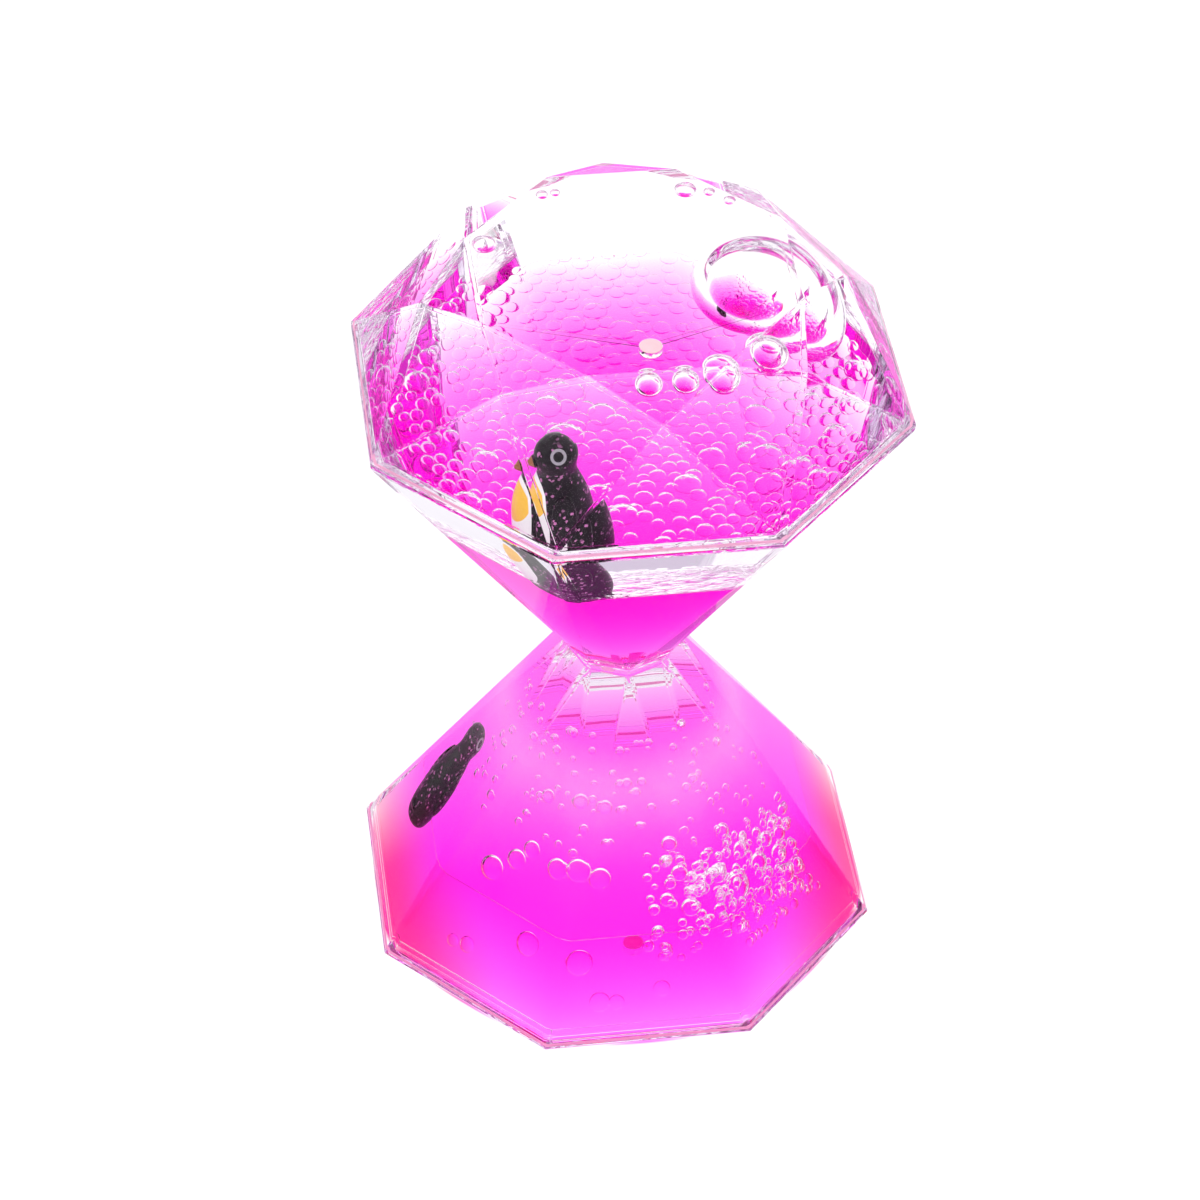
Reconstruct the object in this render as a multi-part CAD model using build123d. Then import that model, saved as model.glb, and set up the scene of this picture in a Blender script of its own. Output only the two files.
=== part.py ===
from build123d import *
import math
import os

# Liquid motion timer: a faceted clear crown on two faceted clear funnels that meet at a narrow neck.
# Dyed water and oil trade places through a drip disc in the neck, and one small penguin figure
# floats in each chamber. Millimetres, +Z up, origin at the middle of the flat base.

# Eight sided plan. Rims and table have their corners at odd multiples of half a turn step,
# the crown's break line and the neck at even ones, so that a flat of the rim faces the front.
SIDES = 8
STEP = 360 / SIDES
HALF_STEP = STEP / 2
MID_RATIO = math.cos(math.radians(HALF_STEP))

# Outer shape
RIM_R = 43.5
RIM_Z = 105.8
RIM_EDGE = 1.1
BREAK_R = 31.3
BREAK_RISE = 15.8
TABLE_RISE = 3.6
NECK_R = 8.9

# Walls and joints of the shells
WALL = 2.0
NECK_FLOOR = 2.1
CEMENT = 0.1
BASE_THICKNESS = 2.0
BASE_FIT = 0.15

# Drip disc and its nozzles in the neck
DISC_WALL = 2.9
NOZZLE_R = 1.25
NOZZLE_BORE_R = 0.6
NOZZLE_SPOUT = 2.2
NOZZLE_FLANGE_R = 1.8
NOZZLE_FLANGE = 0.5
NOZZLE_OFFSET_SHARE = 0.55
NOZZLE_ANGLE = 236.0
NOZZLE_FIT = 0.03

# Filler holes in the crown's table and in the base, and their plugs
FILLER_R = 1.65
FILLER_OFFSET = 18.1
FILLER_FIT = 0.02

# Liquid levels: dyed water lies below clear oil in both chambers
UPPER_LEVEL_DROP = 18.0
LOWER_LEVEL_RISE = 12.5

# Floating figure, standing on the origin and facing -X
FIGURE_HEIGHT = 22.5
FIGURE_DEPTH = 9.2
FIGURE_WIDTH = 8.2
# height, forward offset, depth and width of each cross section
FIGURE_STATION_SHARES = [
    (0.0, 0.02, 0.62, 0.62),
    (0.07, 0.03, 0.84, 0.84),
    (0.22, 0.04, 0.97, 0.98),
    (0.38, 0.02, 1.0, 1.0),
    (0.53, -0.01, 0.92, 0.92),
    (0.66, -0.02, 0.73, 0.74),
    (0.755, -0.01, 0.59, 0.62),
    (0.82, -0.01, 0.63, 0.67),
    (0.88, -0.01, 0.67, 0.7),
    (0.94, -0.01, 0.57, 0.6),
    (0.98, -0.01, 0.37, 0.4),
    (1.0, -0.01, 0.15, 0.16),
]
HEAD_HEIGHT_SHARE = 0.865
HEAD_WIDTH_SHARE = 0.7
HEAD_DEPTH_SHARE = 0.67
SNOUT_ROOT_R = 1.9
SNOUT_TIP_R = 0.9
SNOUT_PROUD = 0.3
BEAK_LENGTH = 0.9
BEAK_TIP_R = 0.25
SNOUT_DROOP_SHARE = 0.2
EYE_R = 1.15
EYE_HOLE_R = 0.75
EYE_SINK = 0.7
EYE_PROUD = 0.1
EYE_LIFT_ANGLE = 34.0
BELLY_INSET = 2.2
BELLY_HEIGHT_SHARE = 0.65
BELLY_WIDTH = 7.4
BELLY_CENTRE_SHARE = 0.41
PATCH_INSET = 2.6
PATCH_HEIGHT_SHARE = 0.285
PATCH_WIDTH = 6.0
PATCH_CENTRE_SHARE = 0.55
FLIPPER_HEIGHT = 8.6
FLIPPER_DEPTH = 3.4
FLIPPER_THICKNESS = 1.4
FLIPPER_CENTRE_SHARE = 0.45
FLIPPER_SPREAD_ANGLE = 6.0
TAIL_LENGTH = 3.2
TAIL_WIDTH = 3.0
TAIL_THICKNESS = 1.4
TAIL_TILT_ANGLE = -25.0
TAIL_BACK_SHARE = 0.41
TAIL_HEIGHT_SHARE = 0.107
BALLAST_R = 1.3
BALLAST_FIT = 0.05
BALLAST_HEIGHT = 2.6

# One overrun for every cut
OVERRUN = 1.0

# Room that the liquids leave round a figure, and where the figures float
FIGURE_ROOM = 0.4
UPPER_FIGURE_SINK = 2.8
UPPER_FIGURE_FACET_ANGLE = 225.0
UPPER_FIGURE_WALL_GAP = 1.0
UPPER_FIGURE_ALONG = 4.7
UPPER_FIGURE_LEAN_ANGLE = 6.0
LOWER_FIGURE_FLOOR_GAP = 3.0
LOWER_FIGURE_FACET_ANGLE = 180.0
LOWER_FIGURE_WALL_GAP = 0.25

# Sizes that follow from the ones above
NECK_Z = RIM_Z / 2
TABLE_Z = RIM_Z + BREAK_RISE + TABLE_RISE
CROWN_RISE = BREAK_RISE + TABLE_RISE
KITE_RUN = (RIM_R - BREAK_R * MID_RATIO) / BREAK_RISE
TABLE_R = RIM_R - KITE_RUN * CROWN_RISE
GIRDLE_RUN = (RIM_R * MID_RATIO - BREAK_R) / BREAK_RISE
FUNNEL_DEPTH = NECK_Z - RIM_EDGE
FACET_RUN = (RIM_R * MID_RATIO - NECK_R) / FUNNEL_DEPTH
SEAM_DROP = RIM_EDGE / 2
DISC_R = NECK_R - DISC_WALL
NOZZLE_OFFSET = DISC_R * NOZZLE_OFFSET_SHARE


def slant(run):
    return math.hypot(1, run)


INNER_RIM_R = RIM_R - WALL * slant(KITE_RUN)
INNER_GIRDLE_MID = RIM_R * MID_RATIO - WALL * slant(GIRDLE_RUN)
INNER_BREAK_RISE = (INNER_RIM_R - INNER_GIRDLE_MID * MID_RATIO) / (KITE_RUN - GIRDLE_RUN * MID_RATIO)
INNER_BREAK_R = INNER_GIRDLE_MID - GIRDLE_RUN * INNER_BREAK_RISE
INNER_CROWN_RISE = CROWN_RISE - WALL
INNER_TABLE_R = INNER_RIM_R - KITE_RUN * INNER_CROWN_RISE
INNER_FACET_MID = RIM_R * MID_RATIO - WALL * slant(FACET_RUN)
INNER_NECK_R = INNER_FACET_MID - FACET_RUN * (FUNNEL_DEPTH - NECK_FLOOR)
INNER_FACET_RUN = (INNER_RIM_R * MID_RATIO - INNER_NECK_R) / (FUNNEL_DEPTH - NECK_FLOOR)
INNER_SLIM_RUN = (INNER_RIM_R - INNER_NECK_R * MID_RATIO) / (FUNNEL_DEPTH - NECK_FLOOR)
UPPER_LEVEL_Z = RIM_Z - UPPER_LEVEL_DROP
LOWER_LEVEL_Z = BASE_THICKNESS + LOWER_LEVEL_RISE
HEAD_Z = FIGURE_HEIGHT * HEAD_HEIGHT_SHARE
SNOUT_REACH = FIGURE_DEPTH * HEAD_DEPTH_SHARE / 2 + SNOUT_PROUD
BEAK_REACH = math.hypot(SNOUT_REACH + BEAK_LENGTH, BEAK_TIP_R)
TAIL_REACH = FIGURE_DEPTH * TAIL_BACK_SHARE + TAIL_LENGTH / 2
FIGURE_REACH = max(BEAK_REACH, TAIL_REACH)
POCKET_R = FIGURE_REACH + FIGURE_ROOM


def ring(radius, height, turned=False):
    """Eight points on a circle; a turned ring has a point straight to the front."""
    start = 0 if turned else HALF_STEP
    angles = [math.radians(start + STEP * k) for k in range(SIDES)]
    return [Vector(radius * math.cos(a), radius * math.sin(a), height) for a in angles]


def after(k):
    return (k + 1) % SIDES


def straight_band(low, high):
    """Flat quads between two rings that point the same way."""
    return [[low[k], low[after(k)], high[after(k)], high[k]] for k in range(SIDES)]


def zigzag_band(rim, turned):
    """Triangles between a rim ring and a turned ring."""
    wide = [[rim[k], rim[after(k)], turned[after(k)]] for k in range(SIDES)]
    slim = [[rim[k], turned[k], turned[after(k)]] for k in range(SIDES)]
    return wide + slim


def crown_band(rim, turned, table):
    """Girdle triangles, kites and star triangles between the rim, the break line and the table."""
    girdle = [[rim[k], rim[after(k)], turned[after(k)]] for k in range(SIDES)]
    kites = [[rim[k], turned[after(k)], table[k], turned[k]] for k in range(SIDES)]
    star = [[table[k], table[after(k)], turned[after(k)]] for k in range(SIDES)]
    return girdle + kites + star


def faceted(outlines):
    """Closed solid from its flat faces."""
    faces = [Face(Wire.make_polygon(points)) for points in outlines]
    return Solid(Shell(faces))


def octagon_slab(radius, low, high, turned=False):
    bottom = ring(radius, low, turned)
    top = ring(radius, high, turned)
    return faceted(straight_band(bottom, top) + [bottom, top])


def mirrored(shape):
    """The same shape in the other half of the timer, mirrored in the neck's plane."""
    return mirror(shape, about=Plane.XY.offset(NECK_Z))


def rod(radius, start, along, length):
    """Round bar from a start point along a direction."""
    place = Plane(origin=start, z_dir=along)
    return place * Cylinder(radius, length, align=(Align.CENTER, Align.CENTER, Align.MIN))


def taper(start_r, end_r, start, along, length):
    place = Plane(origin=start, z_dir=along)
    return place * Cone(start_r, end_r, length, align=(Align.CENTER, Align.CENTER, Align.MIN))


# Chamber of the crown and upper funnel, and the room inside the lower funnel
def upper_chamber():
    table = ring(INNER_TABLE_R, RIM_Z + INNER_CROWN_RISE)
    turned = ring(INNER_BREAK_R, RIM_Z + INNER_BREAK_RISE, turned=True)
    rim = ring(INNER_RIM_R, RIM_Z)
    seat = ring(INNER_RIM_R, RIM_Z - RIM_EDGE)
    neck = ring(INNER_NECK_R, NECK_Z + NECK_FLOOR, turned=True)
    bands = crown_band(rim, turned, table) + straight_band(seat, rim) + zigzag_band(seat, neck)
    return faceted(bands + [table, neck])


def lower_chamber():
    floor = ring(INNER_RIM_R, 0)
    seat = ring(INNER_RIM_R, RIM_EDGE)
    neck = ring(INNER_NECK_R, NECK_Z - NECK_FLOOR, turned=True)
    return faceted(straight_band(floor, seat) + zigzag_band(seat, neck) + [floor, neck])


# Shells
def crown_cap():
    table = ring(TABLE_R, TABLE_Z)
    turned = ring(BREAK_R, RIM_Z + BREAK_RISE, turned=True)
    rim = ring(RIM_R, RIM_Z)
    seam = ring(RIM_R, RIM_Z - SEAM_DROP + CEMENT / 2)
    body = faceted(crown_band(rim, turned, table) + straight_band(seam, rim) + [table, seam])
    return body - upper_chamber() - filler_hole(TABLE_Z, WALL)


def upper_funnel():
    seam = ring(RIM_R, RIM_Z - SEAM_DROP - CEMENT / 2)
    rim = ring(RIM_R, RIM_Z - RIM_EDGE)
    neck = ring(NECK_R, NECK_Z + CEMENT / 2, turned=True)
    body = faceted(straight_band(rim, seam) + zigzag_band(rim, neck) + [seam, neck])
    return body - upper_chamber() - disc_bore()


def lower_funnel():
    seam = ring(RIM_R, SEAM_DROP + CEMENT / 2)
    rim = ring(RIM_R, RIM_EDGE)
    neck = ring(NECK_R, NECK_Z - CEMENT / 2, turned=True)
    body = faceted(straight_band(seam, rim) + zigzag_band(rim, neck) + [seam, neck])
    return body - lower_chamber() - disc_bore()


def base_plate():
    lip = octagon_slab(RIM_R, 0, SEAM_DROP - CEMENT / 2)
    rise = BASE_THICKNESS - RIM_EDGE
    locator_r = INNER_RIM_R - (RIM_R - NECK_R * MID_RATIO) / FUNNEL_DEPTH * rise - BASE_FIT
    locator = octagon_slab(locator_r, 0, BASE_THICKNESS)
    return lip + locator - filler_hole(BASE_THICKNESS, BASE_THICKNESS)


def rim_cement():
    """Cement line between the lower funnel and the base; the upper one is its mirror image."""
    low = SEAM_DROP - CEMENT / 2
    high = SEAM_DROP + CEMENT / 2
    return octagon_slab(RIM_R, low, high) - octagon_slab(INNER_RIM_R, low - OVERRUN, high + OVERRUN)


def neck_cement():
    low = NECK_Z - CEMENT / 2
    high = NECK_Z + CEMENT / 2
    band = octagon_slab(NECK_R, low, high, turned=True)
    return band - disc_bore()


def filler_hole(top, thickness):
    bottom = (0, -FILLER_OFFSET, top - thickness - OVERRUN)
    return rod(FILLER_R, bottom, (0, 0, 1), thickness + 2 * OVERRUN)


def filler_plug(top, thickness):
    return rod(FILLER_R - FILLER_FIT, (0, -FILLER_OFFSET, top - thickness), (0, 0, 1), thickness)


# Drip disc and nozzles
def disc_bore():
    return octagon_slab(DISC_R, NECK_Z - NECK_FLOOR, NECK_Z + NECK_FLOOR, turned=True)


def nozzle_place(angle):
    turn = math.radians(angle)
    return NOZZLE_OFFSET * math.cos(turn), NOZZLE_OFFSET * math.sin(turn)


def nozzle(angle, way):
    """Flanged drip tube; way is -1 for the one that drips down and 1 for the one that points up."""
    x, y = nozzle_place(angle)
    along = (0, 0, way)
    inlet = NECK_Z - way * NECK_FLOOR
    length = NOZZLE_FLANGE + 2 * NECK_FLOOR + NOZZLE_SPOUT
    start = (x, y, inlet - way * NOZZLE_FLANGE)
    tube = rod(NOZZLE_R, start, along, length)
    flange = rod(NOZZLE_FLANGE_R, start, along, NOZZLE_FLANGE)
    passage = rod(NOZZLE_BORE_R, start, along, length)
    return tube + flange - passage


def drip_disc():
    body = disc_bore()
    for angle in (NOZZLE_ANGLE, NOZZLE_ANGLE + 180):
        x, y = nozzle_place(angle)
        start = (x, y, NECK_Z - NECK_FLOOR - OVERRUN)
        body = body - rod(NOZZLE_R + NOZZLE_FIT, start, (0, 0, 1), 2 * (NECK_FLOOR + OVERRUN))
    return body


# Penguin figure, in its own frame
def figure_form():
    sections = []
    for height, offset, depth, width in FIGURE_STATION_SHARES:
        section = Ellipse(FIGURE_DEPTH / 2 * depth, FIGURE_WIDTH / 2 * width)
        sections.append(Pos(FIGURE_DEPTH * offset, 0, FIGURE_HEIGHT * height) * section)
    return loft(sections)


def flipper(side):
    half = (FLIPPER_DEPTH / 2, FLIPPER_THICKNESS / 2, FLIPPER_HEIGHT / 2)
    blade = Rot(side * FLIPPER_SPREAD_ANGLE, 0, 0) * scale(Sphere(1), by=half)
    return Pos(0, side * FIGURE_WIDTH / 2, FIGURE_HEIGHT * FLIPPER_CENTRE_SHARE) * blade


def tail():
    half = (TAIL_LENGTH / 2, TAIL_WIDTH / 2, TAIL_THICKNESS / 2)
    blade = Rot(0, TAIL_TILT_ANGLE, 0) * scale(Sphere(1), by=half)
    return Pos(FIGURE_DEPTH * TAIL_BACK_SHARE, 0, FIGURE_HEIGHT * TAIL_HEIGHT_SHARE) * blade


def snout():
    return taper(SNOUT_ROOT_R, SNOUT_TIP_R, (0, 0, HEAD_Z), (-1, 0, -SNOUT_DROOP_SHARE), SNOUT_REACH)


def beak():
    way = Vector(-1, 0, -SNOUT_DROOP_SHARE).normalized()
    start = Vector(0, 0, HEAD_Z) + way * SNOUT_REACH
    return taper(SNOUT_TIP_R, BEAK_TIP_R, start, way, BEAK_LENGTH)


def eye_ring(side):
    """Ring let into the side of the head, lifted towards its crown."""
    lift = math.radians(EYE_LIFT_ANGLE)
    way = Vector(0, side * math.cos(lift), math.sin(lift))
    half_head = FIGURE_WIDTH * HEAD_WIDTH_SHARE / 2
    start = Vector(0, 0, HEAD_Z) + way * (half_head - EYE_SINK)
    length = EYE_SINK + EYE_PROUD
    return rod(EYE_R, start, way, length) - rod(EYE_HOLE_R, start, way, length)


def front_panel(inset, height_share, width, centre_share):
    """Cutter for an oval panel on the figure's front."""
    outline = Plane.YZ * Ellipse(width / 2, FIGURE_HEIGHT * height_share / 2)
    bar = extrude(outline, amount=-FIGURE_DEPTH)
    return Pos(-inset, 0, FIGURE_HEIGHT * centre_share) * bar


def ballast_pocket():
    radius = BALLAST_R + BALLAST_FIT
    return rod(radius, (0, 0, 0), (0, 0, 1), BALLAST_HEIGHT) + Pos(0, 0, BALLAST_HEIGHT) * Sphere(radius)


def figure_pieces():
    form = figure_form()
    belly_cut = front_panel(BELLY_INSET, BELLY_HEIGHT_SHARE, BELLY_WIDTH, BELLY_CENTRE_SHARE)
    patch_cut = front_panel(PATCH_INSET, PATCH_HEIGHT_SHARE, PATCH_WIDTH, PATCH_CENTRE_SHARE)
    eyes = [eye_ring(side) for side in (-1, 1)]
    body = form - belly_cut + snout()
    for piece in (flipper(-1), flipper(1), tail()):
        body = body + (piece - form)
    for piece in eyes + [ballast_pocket()]:
        body = body - piece
    return {
        "body": body,
        "belly": form & belly_cut - patch_cut,
        "chest_patch": form & belly_cut & patch_cut,
        "beak": beak(),
        "eye_rings": Compound(children=eyes),
        "ballast": Pos(0, 0, BALLAST_HEIGHT) * Sphere(BALLAST_R),
    }


def figure_pocket():
    """Round room in the liquid that the figure can turn in."""
    return rod(POCKET_R, (0, 0, -FIGURE_ROOM), (0, 0, 1), FIGURE_HEIGHT + 2 * FIGURE_ROOM)


def beside_wall(facet, gap, depth, along, height):
    """Point in a funnel whose figure clears a wide facet by the gap, then along that facet."""
    reach = (FIGURE_REACH + gap) * slant(INNER_FACET_RUN)
    out = INNER_RIM_R * MID_RATIO - INNER_FACET_RUN * depth - reach
    place = Vector(out, along, height)
    return place.rotate(Axis.Z, facet)


def upper_figure_place():
    height = UPPER_LEVEL_Z - UPPER_FIGURE_SINK
    depth = RIM_Z - RIM_EDGE - height
    foot = beside_wall(
        UPPER_FIGURE_FACET_ANGLE, UPPER_FIGURE_WALL_GAP, depth, UPPER_FIGURE_ALONG, height
    )
    return Pos(*foot) * Rot(0, -UPPER_FIGURE_LEAN_ANGLE, 0)


def lower_figure_along(out, depth, lean):
    """How far along its facet the leaning figure stands, up to where the next slim facet
    leaves its turning beak the same gap."""
    head_out = out - HEAD_Z * math.sin(lean)
    head_depth = depth + HEAD_Z * math.cos(lean)
    reach = (FIGURE_REACH + LOWER_FIGURE_WALL_GAP) * slant(INNER_SLIM_RUN)
    room = INNER_RIM_R - INNER_SLIM_RUN * head_depth - reach
    return (room - head_out * MID_RATIO) / math.sin(math.radians(HALF_STEP))


def lower_figure_place():
    """Leaning along the slanted wall of the lower funnel, with its back to that wall."""
    height = BASE_THICKNESS + LOWER_FIGURE_FLOOR_GAP
    depth = height - RIM_EDGE
    lean = math.atan(INNER_FACET_RUN)
    out = beside_wall(0, LOWER_FIGURE_WALL_GAP, depth, 0, height).X
    along = -lower_figure_along(out, depth, lean)
    foot = beside_wall(LOWER_FIGURE_FACET_ANGLE, LOWER_FIGURE_WALL_GAP, depth, along, height)
    turned = Rot(0, 0, LOWER_FIGURE_FACET_ANGLE)
    return Pos(*foot) * turned * Rot(0, -math.degrees(lean), 0)


# Liquids, each cut clear of what stands in it
def liquids(upper_place, lower_place):
    upper = upper_chamber() - upper_place * figure_pocket()
    above_base = octagon_slab(RIM_R, BASE_THICKNESS, NECK_Z)
    lower = (lower_chamber() & above_base) - lower_place * figure_pocket()
    for piece in (nozzle(NOZZLE_ANGLE, -1), nozzle(NOZZLE_ANGLE + 180, 1)):
        upper = upper - piece
        lower = lower - piece
    below_upper = octagon_slab(RIM_R, NECK_Z, UPPER_LEVEL_Z)
    below_lower = octagon_slab(RIM_R, 0, LOWER_LEVEL_Z)
    return {
        "upper_dyed_water": upper & below_upper,
        "upper_oil": upper - below_upper,
        "lower_dyed_water": lower & below_lower,
        "lower_oil": lower - below_lower,
    }


def timer():
    upper_place = upper_figure_place()
    lower_place = lower_figure_place()
    pieces = {
        "crown_cap": crown_cap(),
        "upper_funnel": upper_funnel(),
        "lower_funnel": lower_funnel(),
        "base_plate": base_plate(),
        "upper_rim_cement": mirrored(rim_cement()),
        "lower_rim_cement": rim_cement(),
        "neck_cement": neck_cement(),
        "drip_disc": drip_disc(),
        "down_nozzle": nozzle(NOZZLE_ANGLE, -1),
        "up_nozzle": nozzle(NOZZLE_ANGLE + 180, 1),
        "top_filler_plug": filler_plug(TABLE_Z, WALL),
        "base_filler_plug": filler_plug(BASE_THICKNESS, BASE_THICKNESS),
    }
    pieces.update(liquids(upper_place, lower_place))
    for chamber, place in (("upper", upper_place), ("lower", lower_place)):
        for name, shape in figure_pieces().items():
            pieces[f"{chamber}_penguin_{name}"] = place * shape
    return pieces


def main():
    os.makedirs("parts", exist_ok=True)
    for node, shape in timer().items():
        export_step(shape, f"parts/{node}.step")
        print(node, round(shape.volume, 3))
    for chamber, place in (("upper", upper_figure_place()), ("lower", lower_figure_place())):
        origin = place * Pos(0, 0, BALLAST_HEIGHT)
        tip = place * Pos(0, 0, FIGURE_HEIGHT)
        print(chamber, "ballast centre", origin.position, "head", tip.position)


main()
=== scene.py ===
import math
import random

import bmesh
import bpy
from mathutils import Matrix, Vector


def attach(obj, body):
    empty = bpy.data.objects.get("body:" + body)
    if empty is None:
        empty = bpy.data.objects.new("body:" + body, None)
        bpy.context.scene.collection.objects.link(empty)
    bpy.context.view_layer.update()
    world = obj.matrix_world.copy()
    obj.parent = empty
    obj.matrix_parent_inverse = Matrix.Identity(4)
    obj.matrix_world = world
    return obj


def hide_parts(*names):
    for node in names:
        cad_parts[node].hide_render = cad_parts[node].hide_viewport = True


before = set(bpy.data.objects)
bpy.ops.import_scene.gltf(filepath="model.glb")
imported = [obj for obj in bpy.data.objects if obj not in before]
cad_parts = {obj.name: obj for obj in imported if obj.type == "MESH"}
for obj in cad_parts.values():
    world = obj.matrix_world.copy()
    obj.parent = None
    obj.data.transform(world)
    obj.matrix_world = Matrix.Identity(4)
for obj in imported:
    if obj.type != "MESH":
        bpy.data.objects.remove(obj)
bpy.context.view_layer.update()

MM = 0.001
scene = bpy.context.scene

# Camera, where the photographer stood: well above the crown and a little to its left,
# with a long lens.
SENSOR_WIDTH = 36.0
LENS_LENGTH = 111.655
CAMERA_PLACE = (-0.069052, -0.426109, 0.455379)
CAMERA_RIGHT = Vector((0.99077328, -0.13409981, 0.01963542))
CAMERA_UP = Vector((0.07631368, 0.67172437, 0.73685995))
CAMERA_AHEAD = Vector((0.11200237, 0.7285627, -0.67576021))
camera_data = bpy.data.cameras.new("camera")
camera_data.sensor_width = SENSOR_WIDTH
camera_data.lens = LENS_LENGTH
camera = bpy.data.objects.new("camera", camera_data)
scene.collection.objects.link(camera)
turn = Matrix((CAMERA_RIGHT, CAMERA_UP, -CAMERA_AHEAD)).transposed().to_4x4()
camera.matrix_world = Matrix.Translation(CAMERA_PLACE) @ turn
scene.camera = camera

# The set: a white table under an even white dome, both a little over-exposed. The table's glow
# is painted pink under the base and crimson at its sides, standing in for light that comes down
# through the dyed water. The table lies close against the base, because a film of air would
# mirror dark edges.
FLOOR_R = 2.5
FLOOR_RISE = 0.02 * MM
FLOOR_PAINT = (0.05, 0.05, 0.05, 1)
FLOOR_GLOW = 1.05
WHITE = (1, 1, 1, 1)
# painted light: the pink pool under the base and the crimson at its sides
PAINTED_PINK_LIGHT = (1.0, 0.15, 0.98, 1)
PAINTED_CRIMSON_LIGHT = (1.0, 0.02, 0.3, 1)
# where each painted glow begins to change to the next colour, and where it has changed
SIDE_REACH = (19.0 * MM, 36.0 * MM)
BACK_REACH = (0.0, 34.0 * MM)
BASE_REACH = (39.5 * MM, 40.5 * MM)


def shader(name):
    """A new material, with its Principled shader and its node tree."""
    material = bpy.data.materials.new(name)
    material.use_nodes = True
    tree = material.node_tree
    return material, tree.nodes["Principled BSDF"], tree


def keep_mesh(bm, name, material, smooth=False):
    """Ends a modelling session: the mesh becomes a piece of the scene."""
    mesh = bpy.data.meshes.new(name)
    for face in bm.faces:
        face.smooth = smooth
    bm.to_mesh(mesh)
    bm.free()
    mesh.materials.append(material)
    piece = bpy.data.objects.new(name, mesh)
    scene.collection.objects.link(piece)
    return piece


white_table_with_painted_light, plastic, tree = shader("white_table_with_painted_light")
plastic.inputs["Base Color"].default_value = FLOOR_PAINT
plastic.inputs["Roughness"].default_value = 0.9
plastic.inputs["Specular IOR Level"].default_value = 0.0
plastic.inputs["Emission Strength"].default_value = FLOOR_GLOW
place = tree.nodes.new("ShaderNodeTexCoord")
parts = tree.nodes.new("ShaderNodeSeparateXYZ")
sideways = tree.nodes.new("ShaderNodeMath")
sideways.operation = "ABSOLUTE"
reach = tree.nodes.new("ShaderNodeVectorMath")
reach.operation = "LENGTH"
tree.links.new(place.outputs["Object"], parts.inputs["Vector"])
tree.links.new(parts.outputs["X"], sideways.inputs["Value"])
tree.links.new(place.outputs["Object"], reach.inputs[0])
whole = None
for distance, (near, far), colour in (
    (sideways.outputs["Value"], SIDE_REACH, PAINTED_CRIMSON_LIGHT),
    (parts.outputs["Y"], BACK_REACH, WHITE),
    (reach.outputs["Value"], BASE_REACH, WHITE),
):
    ease = tree.nodes.new("ShaderNodeMapRange")
    ease.interpolation_type = "SMOOTHSTEP"
    ease.inputs["From Min"].default_value = near
    ease.inputs["From Max"].default_value = far
    painted_glow = tree.nodes.new("ShaderNodeMix")
    painted_glow.data_type = "RGBA"
    painted_glow.inputs["B"].default_value = colour
    if whole is None:
        painted_glow.inputs["A"].default_value = PAINTED_PINK_LIGHT
    else:
        tree.links.new(whole, painted_glow.inputs["A"])
    tree.links.new(distance, ease.inputs["Value"])
    tree.links.new(ease.outputs["Result"], painted_glow.inputs["Factor"])
    whole = painted_glow.outputs["Result"]
# the table's emission carries the painted pink and crimson light
tree.links.new(whole, plastic.inputs["Emission Color"])
bm = bmesh.new()
place = Matrix.Translation((0, 0, FLOOR_RISE))
bmesh.ops.create_circle(bm, cap_ends=True, segments=96, radius=FLOOR_R, matrix=place)
floor = keep_mesh(bm, "floor", white_table_with_painted_light)

# the dome is darker and lilac near the table's height and white above
DOME_GLOW = 1.45
LOW_GLOW = (0.46, 0.42, 0.5, 1)
LOW_HEIGHT = 0.02
HIGH_HEIGHT = 0.32
world = bpy.data.worlds.new("studio")
scene.world = world
world.use_nodes = True
tree = world.node_tree
dome = tree.nodes["Background"]
dome.inputs["Strength"].default_value = DOME_GLOW
place = tree.nodes.new("ShaderNodeTexCoord")
parts = tree.nodes.new("ShaderNodeSeparateXYZ")
rise = tree.nodes.new("ShaderNodeValToRGB")
rise.color_ramp.elements[0].position = LOW_HEIGHT
rise.color_ramp.elements[0].color = LOW_GLOW
rise.color_ramp.elements[1].position = HIGH_HEIGHT
rise.color_ramp.elements[1].color = WHITE
tree.links.new(place.outputs["Generated"], parts.inputs["Vector"])
tree.links.new(parts.outputs["Z"], rise.inputs["Fac"])
tree.links.new(rise.outputs["Color"], dome.inputs["Color"])
scene.view_settings.view_transform = "Standard"
# light crosses many clear surfaces before it leaves the timer
scene.cycles.max_bounces = 48
scene.cycles.transmission_bounces = 48
scene.cycles.glossy_bounces = 24
scene.cycles.blur_glossy = 0.0
scene.cycles.caustics_refractive = True
scene.cycles.caustics_reflective = True

# Shells: crown, two funnels and base are moulded clear acrylic with flat polished facets.
# Their edges are a little rounded by the polishing, less on the two that are drilled for a
# filler plug, and the mould leaves faint waves.
ACRYLIC_IOR = 1.49
EDGE_ROUND = 0.22 * MM
DRILLED_EDGE_ROUND = 0.11 * MM
WAVE_HEIGHT = 0.1 * MM
MIRROR_TINT = (0.94, 0.92, 0.95, 1)
FILTER_POWER = 2.0
WELD_REACH = 0.001 * MM
FACET_TURN = math.radians(8)
# how close together the waves are, and how strong
SHELL_WAVES = (90.0, 0.12)


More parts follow.
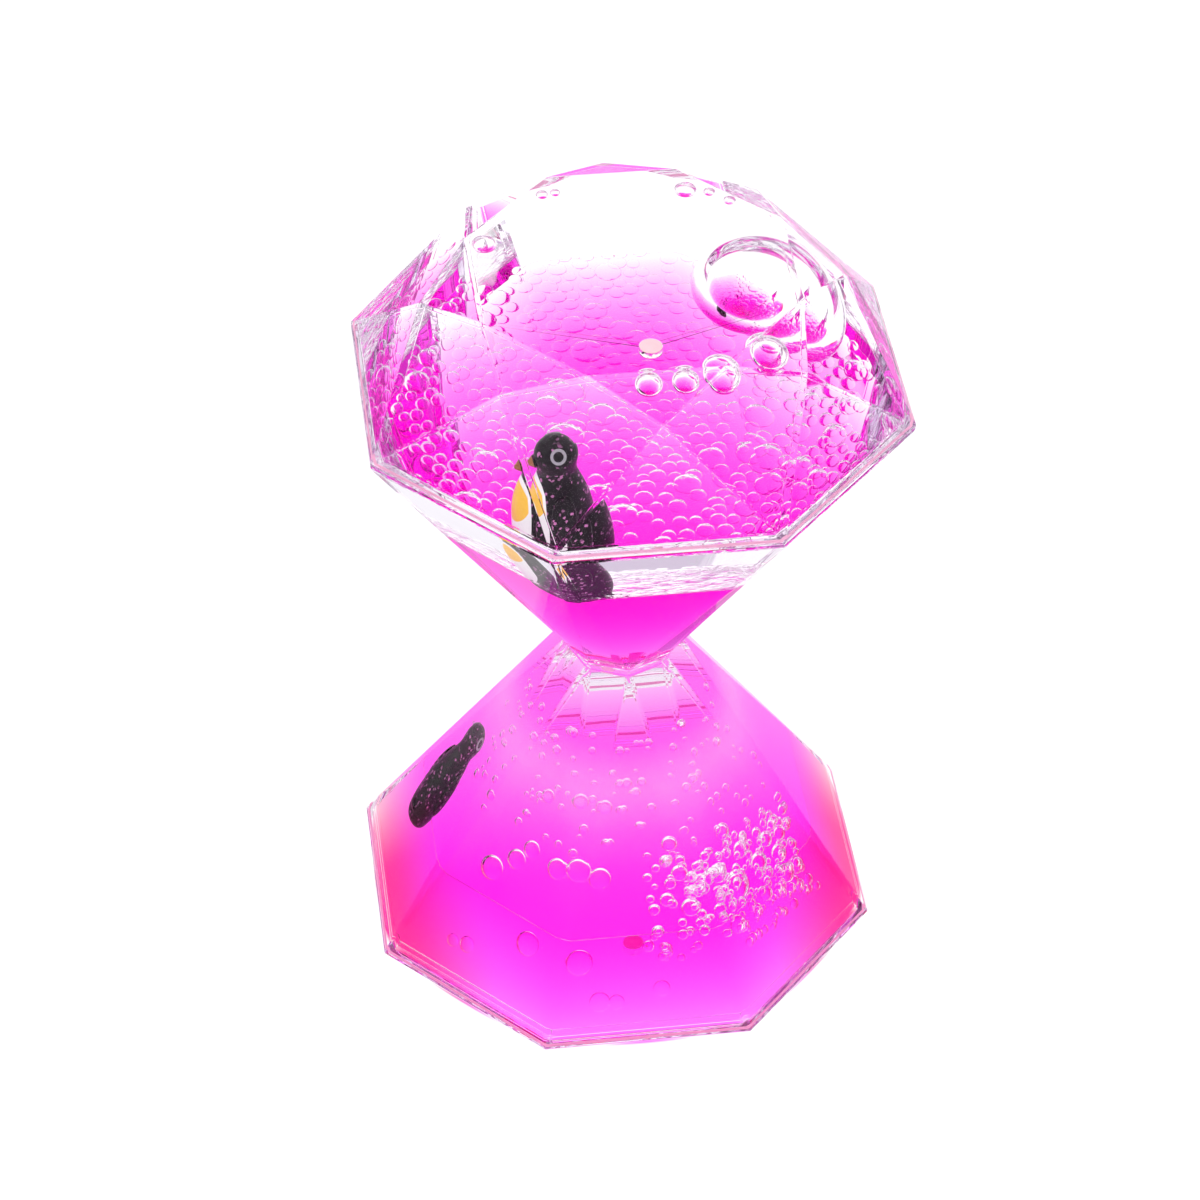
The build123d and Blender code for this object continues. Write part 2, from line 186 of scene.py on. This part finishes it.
def see_through(name, ior, surface_waves, dye=None, density=0.0):
    """Clear polished matter that bends light by its index, taken against what lies round it,
    and mirrors it fully past the critical angle. Its weak reflections are held down, as a
    polarising filter on the lens does, and its surface has faint waves."""
    wave_scale, wave_strength = surface_waves
    material, plastic, tree = shader(name)
    tree.nodes.remove(plastic)
    facing = tree.nodes.new("ShaderNodeFresnel")
    facing.inputs["IOR"].default_value = ior
    filtered = tree.nodes.new("ShaderNodeMath")
    filtered.operation = "POWER"
    filtered.inputs[1].default_value = FILTER_POWER
    through = tree.nodes.new("ShaderNodeBsdfRefraction")
    through.inputs["IOR"].default_value = ior
    through.inputs["Roughness"].default_value = 0.0
    mirror = tree.nodes.new("ShaderNodeBsdfAnisotropic")
    mirror.inputs["Color"].default_value = MIRROR_TINT
    mirror.inputs["Roughness"].default_value = 0.0
    both = tree.nodes.new("ShaderNodeMixShader")
    place = tree.nodes.new("ShaderNodeTexCoord")
    waves = tree.nodes.new("ShaderNodeTexNoise")
    waves.inputs["Scale"].default_value = wave_scale
    waves.inputs["Detail"].default_value = 1.0
    relief = tree.nodes.new("ShaderNodeBump")
    relief.inputs["Strength"].default_value = wave_strength
    relief.inputs["Distance"].default_value = WAVE_HEIGHT
    tree.links.new(place.outputs["Object"], waves.inputs["Vector"])
    tree.links.new(waves.outputs["Fac"], relief.inputs["Height"])
    for part in (facing, through, mirror):
        tree.links.new(relief.outputs["Normal"], part.inputs["Normal"])
    tree.links.new(facing.outputs["Fac"], filtered.inputs[0])
    tree.links.new(filtered.outputs["Value"], both.inputs["Fac"])
    tree.links.new(through.outputs["BSDF"], both.inputs[1])
    tree.links.new(mirror.outputs["BSDF"], both.inputs[2])
    end = tree.nodes["Material Output"]
    tree.links.new(both.outputs["Shader"], end.inputs["Surface"])
    if dye:
        tint = tree.nodes.new("ShaderNodeVolumeAbsorption")
        tint.inputs["Color"].default_value = dye
        tint.inputs["Density"].default_value = density
        tree.links.new(tint.outputs["Volume"], end.inputs["Volume"])
    return material


clear_acrylic = see_through("clear_acrylic", ACRYLIC_IOR, SHELL_WAVES)


def dress(node, material):
    """Gives a CAD node its finish."""
    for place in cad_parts[node].material_slots:
        place.material = material


def weld_and_round(piece, width):
    """Joins a CAD node's loose triangles and rounds its sharp edges."""
    weld = piece.modifiers.new("weld", "WELD")
    weld.merge_threshold = WELD_REACH
    edge = piece.modifiers.new("round", "BEVEL")
    edge.limit_method = "ANGLE"
    edge.angle_limit = FACET_TURN
    edge.width = width
    edge.segments = 2


for node, width in (
    ("crown_cap", DRILLED_EDGE_ROUND),
    ("upper_funnel", EDGE_ROUND),
    ("lower_funnel", EDGE_ROUND),
    ("base_plate", DRILLED_EDGE_ROUND),
):
    dress(node, clear_acrylic)
    weld_and_round(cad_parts[node], width)

# Liquids: dyed water lies below clear oil in both chambers. Each fills its chamber to the
# walls, so its surface lies a hair inside the acrylic.
WATER_IOR = 1.333
OIL_IOR = 1.45
DYE_DEPTH = 105.0
DYE = (1.0, 0.0, 0.9, 1)
LIQUID_WAVES = (150.0, 0.2)
HAIR = 0.02 * MM
HALF_FACET = math.radians(22.5)
FLAT_TURN = 0.001
RIM_Z = 105.8 * MM
RIM_EDGE = 1.1 * MM
NECK_Z = RIM_Z / 2
NECK_FLOOR = 2.1 * MM
BREAK_Z = RIM_Z + 14.308 * MM
CEILING_Z = RIM_Z + 17.4 * MM
BASE_TOP = 2.0 * MM
INNER_RIM_R = 40.778 * MM
INNER_BREAK_R = 29.845 * MM
INNER_TABLE_R = 24.719 * MM
INNER_NECK_R = 7.832 * MM
UPPER_LEVEL = 87.8 * MM
LOWER_LEVEL = 14.5 * MM
dyed_water = see_through("dyed_water", WATER_IOR, LIQUID_WAVES, DYE, DYE_DEPTH)
clear_oil = see_through("clear_oil", OIL_IOR, LIQUID_WAVES)


def eight_corners(bm, radius, height, turned=False):
    """The corners of one of the eight sided outlines; a turned one has a corner in front."""
    turn = Matrix.Rotation(0.0 if turned else HALF_FACET, 4, "Z")
    place = Matrix.Translation((0, 0, height)) @ turn
    bmesh.ops.create_circle(bm, segments=8, radius=radius + HAIR, matrix=place)


def hull_of_corners(bm):
    """Closes the outlines' corners into one faceted body."""
    bmesh.ops.convex_hull(bm, input=bm.verts)
    bmesh.ops.dissolve_limit(bm, angle_limit=FLAT_TURN, verts=bm.verts, edges=bm.edges)
    bmesh.ops.recalc_face_normals(bm, faces=bm.faces)


def cut_open(bm, height, keep_above):
    """Cuts a mesh level, keeps the part on one side and gives the cut's edges."""
    cut = bmesh.ops.bisect_plane(
        bm,
        geom=bm.verts[:] + bm.edges[:] + bm.faces[:],
        plane_co=(0, 0, height),
        plane_no=(0, 0, 1),
        clear_inner=keep_above,
        clear_outer=not keep_above,
    )
    return [part for part in cut["geom_cut"] if isinstance(part, bmesh.types.BMEdge)]


def cut_flat(bm, height, keep_above):
    """Cuts a closed mesh level and closes the cut."""
    bmesh.ops.contextual_create(bm, geom=cut_open(bm, height, keep_above))
    bmesh.ops.recalc_face_normals(bm, faces=bm.faces)


def upper_room(bm):
    """The inside of the crown and the upper funnel."""
    eight_corners(bm, INNER_TABLE_R, CEILING_Z + HAIR)
    eight_corners(bm, INNER_BREAK_R, BREAK_Z, turned=True)
    eight_corners(bm, INNER_RIM_R, RIM_Z)
    eight_corners(bm, INNER_RIM_R, RIM_Z - RIM_EDGE)
    eight_corners(bm, INNER_NECK_R, NECK_Z + NECK_FLOOR - HAIR, turned=True)
    hull_of_corners(bm)


def lower_room(bm):
    """The inside of the lower funnel, above the base."""
    eight_corners(bm, INNER_RIM_R, 0)
    eight_corners(bm, INNER_RIM_R, RIM_EDGE)
    eight_corners(bm, INNER_NECK_R, NECK_Z - NECK_FLOOR + HAIR, turned=True)
    hull_of_corners(bm)
    cut_flat(bm, BASE_TOP - HAIR, keep_above=True)


for name, room, level, material, above in (
    ("upper_dyed_water", upper_room, UPPER_LEVEL + HAIR, dyed_water, False),
    ("upper_oil", upper_room, UPPER_LEVEL - HAIR, clear_oil, True),
    ("lower_dyed_water", lower_room, LOWER_LEVEL + HAIR, dyed_water, False),
    ("lower_oil", lower_room, LOWER_LEVEL - HAIR, clear_oil, True),
):
    bm = bmesh.new()
    room(bm)
    cut_flat(bm, level, keep_above=above)
    liquid = keep_mesh(bm, name + "_fill", material)
    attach(liquid, "housing")
    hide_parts(name)

# Cement: a thin bead of glue closes both rims and the neck. In the rims it is a narrow dull pink
# line inside the seam, with the bright acrylic on both sides. In the neck it fills nearly the
# whole seam, and dye has crept in. Both are given a little painted glow, which stands in for the
# light the acrylic gathers.
CEMENT = 0.1 * MM
RIM_R = 43.5 * MM
NECK_R = 8.9 * MM
MID_RATIO = math.cos(HALF_FACET)
# how far in from the edge each bead begins, and its width
RIM_BEAD = (0.9 * MM, 0.6 * MM)
NECK_BEAD = (0.3 * MM, 2.3 * MM)
MOTTLE_SCALE = 900.0
MOTTLE_SHADE = 0.85
PEEL_STRENGTH = 0.3
PEEL_DEPTH = 0.02 * MM


def mottled(name, colour, roughness, painted_glow=0.0):
    """A paint or resin whose colour is a little uneven, with a faint orange peel."""
    material, plastic, tree = shader(name)
    place = tree.nodes.new("ShaderNodeTexCoord")
    mottle = tree.nodes.new("ShaderNodeTexNoise")
    mottle.inputs["Scale"].default_value = MOTTLE_SCALE
    shade = tree.nodes.new("ShaderNodeMix")
    shade.data_type = "RGBA"
    shade.inputs["A"].default_value = (*[MOTTLE_SHADE * part for part in colour], 1)
    shade.inputs["B"].default_value = (*colour, 1)
    peel = tree.nodes.new("ShaderNodeBump")
    peel.inputs["Strength"].default_value = PEEL_STRENGTH
    peel.inputs["Distance"].default_value = PEEL_DEPTH
    tree.links.new(place.outputs["Object"], mottle.inputs["Vector"])
    tree.links.new(mottle.outputs["Fac"], shade.inputs["Factor"])
    tree.links.new(mottle.outputs["Fac"], peel.inputs["Height"])
    tree.links.new(peel.outputs["Normal"], plastic.inputs["Normal"])
    tree.links.new(shade.outputs["Result"], plastic.inputs["Base Color"])
    plastic.inputs["Roughness"].default_value = roughness
    # a nonzero glow paints light into the surface in its own colour
    if painted_glow:
        plastic.inputs["Emission Color"].default_value = (*colour, 1)
        plastic.inputs["Emission Strength"].default_value = painted_glow
    return material


def raise_up(bm, thickness):
    """Thickens a level sheet upwards into a slab."""
    raised = bmesh.ops.extrude_face_region(bm, geom=bm.faces[:])["geom"]
    top = [part for part in raised if isinstance(part, bmesh.types.BMVert)]
    bmesh.ops.translate(bm, vec=(0, 0, thickness), verts=top)


# the stain is the cement's own colour; the glow on both is painted light
stained_cement_painted_glow = mottled("stained_cement_painted_glow", (0.85, 0.42, 0.6), roughness=0.4, painted_glow=0.2)
dyed_cement_painted_glow = mottled("dyed_cement_painted_glow", (0.85, 0.02, 0.25), roughness=0.4, painted_glow=0.35)
for node, outside, (back, width), height, turned, material in (
    ("upper_rim_cement", RIM_R, RIM_BEAD, RIM_Z - RIM_EDGE / 2, False, stained_cement_painted_glow),
    ("lower_rim_cement", RIM_R, RIM_BEAD, RIM_EDGE / 2, False, stained_cement_painted_glow),
    ("neck_cement", NECK_R, NECK_BEAD, NECK_Z, True, dyed_cement_painted_glow),
):
    bm = bmesh.new()
    eight_corners(bm, outside - back, height - CEMENT / 2 - HAIR, turned)
    bmesh.ops.contextual_create(bm, geom=bm.edges[:])
    middle = bm.faces[:]
    bmesh.ops.inset_region(
        bm, faces=middle, thickness=width * MID_RATIO, use_boundary=True, use_even_offset=True
    )
    bmesh.ops.delete(bm, geom=middle, context="FACES")
    raise_up(bm, CEMENT + 2 * HAIR)
    bmesh.ops.recalc_face_normals(bm, faces=bm.faces)
    bead = keep_mesh(bm, node + "_bead", material)
    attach(bead, "housing")
    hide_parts(node)

# Base corner: clear glue fills the narrow gap all round between the base's raised middle and
# the funnel's wall, so that no air shows there.
LOCATOR_R = 40.015 * MM
CORNER_R = 40.17 * MM
CALM_WAVES = (200.0, 0.05)
clear_glue = see_through("clear_glue", ACRYLIC_IOR, CALM_WAVES)
bm = bmesh.new()
loops = []
for radius, height in (
    (LOCATOR_R - 2 * HAIR, (RIM_EDGE - CEMENT) / 2 - HAIR),
    (INNER_RIM_R, (RIM_EDGE - CEMENT) / 2 - HAIR),
    (INNER_RIM_R, RIM_EDGE),
    (CORNER_R, BASE_TOP + HAIR),
    (LOCATOR_R - 2 * HAIR, BASE_TOP + HAIR),
):
    known = set(bm.edges)
    eight_corners(bm, radius, height)
    loops.append([edge for edge in bm.edges if edge not in known])
for k in range(len(loops)):
    bmesh.ops.bridge_loops(bm, edges=loops[k - 1] + loops[k])
bmesh.ops.recalc_face_normals(bm, faces=bm.faces)
fillet = keep_mesh(bm, "base_corner_fillet", clear_glue)
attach(fillet, "housing")

# Drip disc: an eight sided slab of clear acrylic cemented into the neck. It reaches a hair
# into both funnels, so no air shows in the joint.
DISC_R = 6.0 * MM
DISC_CHAMFER = 0.1 * MM
bm = bmesh.new()
low = Matrix.Translation((0, 0, NECK_Z - NECK_FLOOR))
bmesh.ops.create_circle(bm, cap_ends=True, segments=8, radius=DISC_R + HAIR, matrix=low)
raise_up(bm, 2 * NECK_FLOOR)
bmesh.ops.bevel(
    bm,
    geom=bm.edges[:],
    offset=DISC_CHAMFER,
    offset_type="OFFSET",
    segments=1,
    profile=0.5,
    affect="EDGES",
    material=-1,
)
bmesh.ops.recalc_face_normals(bm, faces=bm.faces)
disc = keep_mesh(bm, "drip_disc_slab", clear_acrylic)
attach(disc, "housing")
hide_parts("drip_disc")

# Drip tubes: two small flanged tubes of milky plastic through the disc, stained pink by the
# water that has run through them.
stained_plastic = mottled("stained_plastic", (0.95, 0.6, 0.8), roughness=0.25)
for node in ("down_nozzle", "up_nozzle"):
    dress(node, stained_plastic)

# Filler plugs: the liquids went in through a hole in the table and one in the base, and a short
# pin of tan resin is glued into each.
tan_resin = mottled("tan_resin", (0.86, 0.5, 0.56), roughness=0.45)
for node in ("top_filler_plug", "base_filler_plug"):
    dress(node, tan_resin)

# Drops on the upper level: water drops that have not yet joined the pool crowd on its surface
# like fish scales, flattened by their weight. Some have merged into larger ones.
DROP_IOR = 0.919
DROP_PITCH = 2.9 * MM
DROP_ROW = 2.3 * MM
DROP_FLATNESS = 0.42
DROP_SCATTER = 0.22
DROP_SIZES = (0.72, 1.05)
DROP_WAVES = (400.0, 0.3)
KEPT_SHARE = 0.86
MERGED_SHARE = 0.07
MERGED_SIZE = 1.8
LEVEL_R = 29.3 * MM
UPPER_FIGURE = (-9.7 * MM, -16.3 * MM)
FIGURE_CLEARANCE = 7.0 * MM
chance = random.Random(7)
resting_drop = see_through("resting_drop", DROP_IOR, DROP_WAVES)


def round_drop(name, round_parts):
    """A plain round drop of unit size, to be flattened and set in place."""
    bm = bmesh.new()
    bmesh.ops.create_uvsphere(bm, u_segments=round_parts, v_segments=round_parts // 2, radius=0.5)
    mesh = bpy.data.meshes.new(name)
    bm.to_mesh(mesh)
    bm.free()
    return mesh


small_drop = round_drop("small_drop", round_parts=12)


def add_drop(bm, centre, width, thickness, out, drop=small_drop):
    """A flattened drop whose flat side faces out."""
    turn = Vector((0, 0, 1)).rotation_difference(Vector(out)).to_matrix().to_4x4()
    flattened = drop.copy()
    shape = Matrix.Diagonal((width, width, thickness, 1))
    flattened.transform(Matrix.Translation(centre) @ turn @ shape)
    bm.from_mesh(flattened)
    bpy.data.meshes.remove(flattened)


def keep_drops(bm, name, material):
    """Ends a mesh of drops, bubbles or haze, which stays with the housing."""
    piece = keep_mesh(bm, name, material, smooth=True)
    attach(piece, "housing")


bm = bmesh.new()
rows = int(LEVEL_R / DROP_ROW)
columns = int(LEVEL_R / DROP_PITCH)
for k in range(-rows, rows + 1):
    for j in range(-columns, columns + 1):
        x = (j + (k % 2) / 2 + chance.uniform(-DROP_SCATTER, DROP_SCATTER)) * DROP_PITCH
        y = (k + chance.uniform(-DROP_SCATTER, DROP_SCATTER)) * DROP_ROW
        width = DROP_PITCH * chance.uniform(*DROP_SIZES)
        if chance.random() < MERGED_SHARE:
            width *= MERGED_SIZE
        thickness = width * DROP_FLATNESS
        kept = chance.random() <= KEPT_SHARE
        clear = math.dist((x, y), UPPER_FIGURE) >= FIGURE_CLEARANCE
        if kept and clear and math.hypot(x, y) <= LEVEL_R:
            centre = (x, y, UPPER_LEVEL + thickness / 2 + HAIR)
            add_drop(bm, centre, width, thickness, (0, 0, 1))
keep_drops(bm, "upper_level_drops", resting_drop)

# Air under the table: a few bubbles of air were left when the timer was filled. The large one
# floats at the right, a string of small ones at the front, and a few more at the back and left.
AIR_IN_OIL = 0.82
LARGE_AIR_IN_OIL = 0.78
BUBBLE_FLATNESS = 0.9
LARGE_BUBBLE = (18.8 * MM, 2.6 * MM)
LARGE_BUBBLE_WIDTH = 19.2 * MM
LARGE_BUBBLE_HEIGHT = 22.0 * MM
# how far to the right, how far back, and the width
CEILING_BUBBLES = (
    (16.7, -17.2, 6.0),
    (9.5, -21.2, 5.2),
    (4.3, -22.8, 4.0),
    (-1.0, -22.9, 4.0),
    (10.9, 20.6, 3.4),
    (14.3, 19.2, 1.8),
    (17.0, 16.8, 1.9),
    (-10.7, 21.2, 1.9),
    (-8.7, 21.4, 1.6),
    (-20.6, 10.6, 3.8),
)
trapped_air = see_through("trapped_air", AIR_IN_OIL, CALM_WAVES)
bright_air = see_through("bright_air", LARGE_AIR_IN_OIL, CALM_WAVES)
large_drop = round_drop("large_drop", round_parts=40)
bm = bmesh.new()
centre = (*LARGE_BUBBLE, CEILING_Z - LARGE_BUBBLE_HEIGHT / 2 - HAIR)
add_drop(bm, centre, LARGE_BUBBLE_WIDTH, LARGE_BUBBLE_HEIGHT, (0, 0, 1), large_drop)
keep_drops(bm, "large_ceiling_bubble", bright_air)
bm = bmesh.new()
for across, back, width in CEILING_BUBBLES:
    height = width * BUBBLE_FLATNESS * MM
    centre = (across * MM, back * MM, CEILING_Z - height / 2 - HAIR)
    add_drop(bm, centre, width * MM, height, (0, 0, 1), large_drop)
keep_drops(bm, "ceiling_bubbles", trapped_air)

# Drops in the lower chamber: new drops of dyed water roll down the walls, the larger ones in
# strings, and a spray of small ones lies higher up. They leave the lower figure's path clear.
ROLLING_IOR = 0.77
WALL_FLATNESS = 0.4
WALL_DIP = 0.46
# how far the wide and the slim facets lean in for each step up
WIDE_RUN = 0.60045
SLIM_RUN = 0.6749
SPRAY_FACETS = (180, 202.5, 225, 247.5, 270, 292.5, 315, 337.5)
SPRAY_LOW = 26.0
SPRAY_STEP = 2.0
SPRAY_ROWS = 9
SPRAY_SCATTER = 0.6
SPRAY_WIDTHS = (0.7, 1.7)
SLIM_NUMBER = 1
WIDE_NUMBER = 3
FACET_SHARE = 0.8
# the lower figure's foot, its upright axis, and the way and distances that it rides up
FIGURE_FOOT = Vector((-28.775, 7.249, 5.0)) * MM
FIGURE_AXIS = Vector((0.51478, 0.0, 0.85732))
FIGURE_PATH = Vector((0.61678, -0.15539, 0.77165))
FIGURE_STOPS = [distance * MM for distance in range(0, 25, 4)]
# the facet's angle, the place along it, the height and the width
WALL_DROPS = (
    (225, -4.3, 18.5, 4.2),
    (225, -0.6, 21.4, 3.4),
    (225, 1.4, 23.8, 3.0),
    (225, 6.8, 23.1, 3.6),
    (247.5, 0.2, 23.9, 3.8),
    (270, -6.2, 22.8, 3.6),
    (225, 0.9, 31.8, 2.4),
    (247.5, -1.1, 33.1, 2.6),
    (270, -4.8, 32.8, 2.4),
    (225, 6.4, 11.3, 4.2),
    (270, -10.2, 11.1, 4.4),
    (225, -3.7, 6.7, 2.8),
    (225, -6.4, 6.2, 2.2),
    (270, -7.3, 5.3, 3.4),
    (270, -4.6, 5.1, 2.6),
    (270, 2.8, 6.5, 2.8),
)


def is_slim(facet):
    """The slim facets lie between the wide ones and come to a point at the rim."""
    return facet % 45 != 0


def wall_place(facet, along, height):
    """A point on the lower funnel's inner wall and the wall's way out."""
    slim = is_slim(facet)
    run = SLIM_RUN if slim else WIDE_RUN
    reach = INNER_RIM_R * (1 if slim else MID_RATIO) - run * (height - RIM_EDGE)
    turn = Matrix.Rotation(math.radians(facet), 3, "Z")
    out = turn @ Vector((1, 0, run)).normalized()
    return turn @ Vector((reach, along, height)), out


def room_to_figure(spot):
    """How near the lower figure's upright axis comes to a point as it rides up and down."""
    feet = [FIGURE_FOOT + FIGURE_PATH * stop for stop in FIGURE_STOPS]
    return min((spot - foot).cross(FIGURE_AXIS).length for foot in feet)


def add_wall_drop(bm, facet, along, height, width, flatness, drop=small_drop):
    """A flattened drop on the wall, unless it is in the lower figure's way."""
    spot, out = wall_place(facet, along, height)
    thickness = width * flatness
    if room_to_figure(spot) > FIGURE_CLEARANCE:
        add_drop(bm, spot - out * (thickness * WALL_DIP), width, thickness, out, drop)


rolling_drop = see_through("rolling_drop", ROLLING_IOR, DROP_WAVES)
bm = bmesh.new()
for facet, along, height, width in WALL_DROPS:
    add_wall_drop(bm, facet, along * MM, height * MM, width * MM, WALL_FLATNESS, large_drop)
for facet in SPRAY_FACETS:
    slim = is_slim(facet)
    for k in range(SPRAY_ROWS):
        scatter = chance.uniform(-SPRAY_SCATTER, SPRAY_SCATTER)
        height = (SPRAY_LOW + SPRAY_STEP * k + scatter) * MM
        share = (height - RIM_EDGE) / (NECK_Z - RIM_EDGE)
        widest = INNER_NECK_R * share if slim else INNER_RIM_R * (1 - share)
        half = widest * math.sin(HALF_FACET) * FACET_SHARE
        for _ in range(SLIM_NUMBER if slim else WIDE_NUMBER):
            along = chance.uniform(-half, half)
            width = chance.uniform(*SPRAY_WIDTHS) * MM
            add_wall_drop(bm, facet, along, height, width, WALL_FLATNESS)
keep_drops(bm, "lower_wall_drops", rolling_drop)

# Mist: where the drops leave the tube, a haze of water drops too fine to see one by one
# clings to the lower funnel's wall. It thins out downwards.
MIST_LOW = 17.0 * MM
MIST_HIGH = 41.0 * MM
MIST_GAP = 0.03 * MM
MIST_WHITE = (0.95, 0.92, 0.95, 1)
LEVEL_NORMAL = 0.99
# the share of the height, and how thick the haze is there
MIST_SHARES = (
    (0.0, 0.0),
    (0.3, 0.02),
    (0.5, 0.07),
    (0.62, 0.15),
    (0.74, 0.23),
    (0.82, 0.2),
    (1.0, 0.0),
)
white_mist, plastic, tree = shader("white_mist")
plastic.inputs["Base Color"].default_value = MIST_WHITE
plastic.inputs["Roughness"].default_value = 0.6
plastic.inputs["Specular IOR Level"].default_value = 0.0
place = tree.nodes.new("ShaderNodeTexCoord")
parts = tree.nodes.new("ShaderNodeSeparateXYZ")
rise = tree.nodes.new("ShaderNodeMapRange")
rise.inputs["From Min"].default_value = MIST_LOW
rise.inputs["From Max"].default_value = MIST_HIGH
thickness = tree.nodes.new("ShaderNodeValToRGB")
stops = thickness.color_ramp.elements
for share, _ in MIST_SHARES[1:-1]:
    stops.new(share)
for stop, (share, veil) in zip(stops, MIST_SHARES):
    stop.position = share
    stop.color = (veil, veil, veil, 1)
tree.links.new(place.outputs["Object"], parts.inputs["Vector"])
tree.links.new(parts.outputs["Z"], rise.inputs["Value"])
tree.links.new(rise.outputs["Result"], thickness.inputs["Fac"])
tree.links.new(thickness.outputs["Color"], plastic.inputs["Alpha"])
bm = bmesh.new()
lower_room(bm)
levels = [face for face in bm.faces if abs(face.normal.z) > LEVEL_NORMAL]
bmesh.ops.delete(bm, geom=levels, context="FACES_ONLY")
cut_open(bm, MIST_LOW, keep_above=True)
cut_open(bm, MIST_HIGH, keep_above=False)
narrower = 1 - MIST_GAP / INNER_NECK_R
bmesh.ops.scale(bm, vec=(narrower, narrower, 1), verts=bm.verts)
keep_drops(bm, "lower_mist", white_mist)

# Foam: air and oil beaten into the falling water gather as foam at the front right wall, with
# a few large bubbles among many small ones.
AIR_IN_WATER = 0.74
FOAM_FLATNESS = 0.6
FOAM_WIDTHS = (0.8, 2.2)
FOAM_WAVES = (400.0, 0.2)
# the facet's angle, the place along it, the height and the width
FOAM_LEADERS = (
    (315, -5.0, 17.0, 5.4),
    (315, -3.4, 25.1, 3.0),
    (315, 8.0, 12.8, 3.2),
    (315, 5.6, 16.2, 3.4),
    (315, 5.4, 13.0, 3.6),
    (315, -7.6, 20.6, 3.2),
    (315, -1.6, 21.0, 3.0),
    (315, 1.0, 17.4, 3.6),
    (315, -8.4, 12.6, 3.4),
    (315, -0.4, 13.0, 2.8),
    (270, 8.2, 17.6, 3.2),
    (270, 4.4, 19.0, 2.4),
    (315, 4.2, 19.4, 2.8),
    (315, 7.4, 18.6, 2.6),
    (270, 5.2, 26.9, 2.6),
    (270, 6.6, 22.6, 2.8),
    (292.5, 0.5, 21.0, 2.4),
)
# the facet's angle, the number, and the ends of the places along it and of the heights
FOAM_PATCHES = (
    (315, 150, (-10, 10), (8, 24)),
    (292.5, 22, (-2, 2), (13, 27)),
    (270, 44, (1, 10), (10, 25)),
)
foam = see_through("foam", AIR_IN_WATER, FOAM_WAVES)
bm = bmesh.new()
for facet, along, height, width in FOAM_LEADERS:
    add_wall_drop(bm, facet, along * MM, height * MM, width * MM, FOAM_FLATNESS, large_drop)
for facet, number, along_room, height_room in FOAM_PATCHES:
    for _ in range(number):
        along = chance.uniform(*along_room) * MM
        height = chance.uniform(*height_room) * MM
        width = chance.uniform(*FOAM_WIDTHS) * MM
        add_wall_drop(bm, facet, along, height, width, FOAM_FLATNESS)
keep_drops(bm, "lower_foam", foam)

# Penguins: small floating figures moulded in glossy black with fine glitter, with a white
# belly and eye rings, a yellow chest and a brown beak, weighted by a steel ball in the foot.
BLACK = (0.006, 0.001, 0.006, 1)
FLAKE_PINK = (0.5, 0.16, 0.4, 1)
FLAKE_SCALE = 2600.0
FLAKE_SHARES = (0.8, 0.9)
black_glitter, plastic, tree = shader("black_glitter")
plastic.inputs["Roughness"].default_value = 0.35
plastic.inputs["Specular IOR Level"].default_value = 0.25
place = tree.nodes.new("ShaderNodeTexCoord")
flakes = tree.nodes.new("ShaderNodeTexVoronoi")
flakes.inputs["Scale"].default_value = FLAKE_SCALE
pick = tree.nodes.new("ShaderNodeValToRGB")
for end, share, colour in zip(pick.color_ramp.elements, FLAKE_SHARES, (BLACK, FLAKE_PINK)):
    end.position = share
    end.color = colour
tree.links.new(place.outputs["Object"], flakes.inputs["Vector"])
tree.links.new(flakes.outputs["Color"], pick.inputs["Fac"])
tree.links.new(pick.outputs["Color"], plastic.inputs["Base Color"])
white_paint = mottled("white_paint", (0.86, 0.83, 0.85), roughness=0.3)
eye_paint = mottled("eye_paint", (0.34, 0.3, 0.36), roughness=0.3)
yellow_paint = mottled("yellow_paint", (0.9, 0.5, 0.05), roughness=0.3)
beak_paint = mottled("beak_paint", (0.3, 0.1, 0.04), roughness=0.35)
steel = mottled("ball_steel", (0.6, 0.6, 0.62), roughness=0.25)
for chamber in ("upper", "lower"):
    for part, material in (
        ("body", black_glitter),
        ("belly", white_paint),
        ("chest_patch", yellow_paint),
        ("beak", beak_paint),
        ("eye_rings", eye_paint),
        ("ballast", steel),
    ):
        dress(f"{chamber}_penguin_{part}", material)
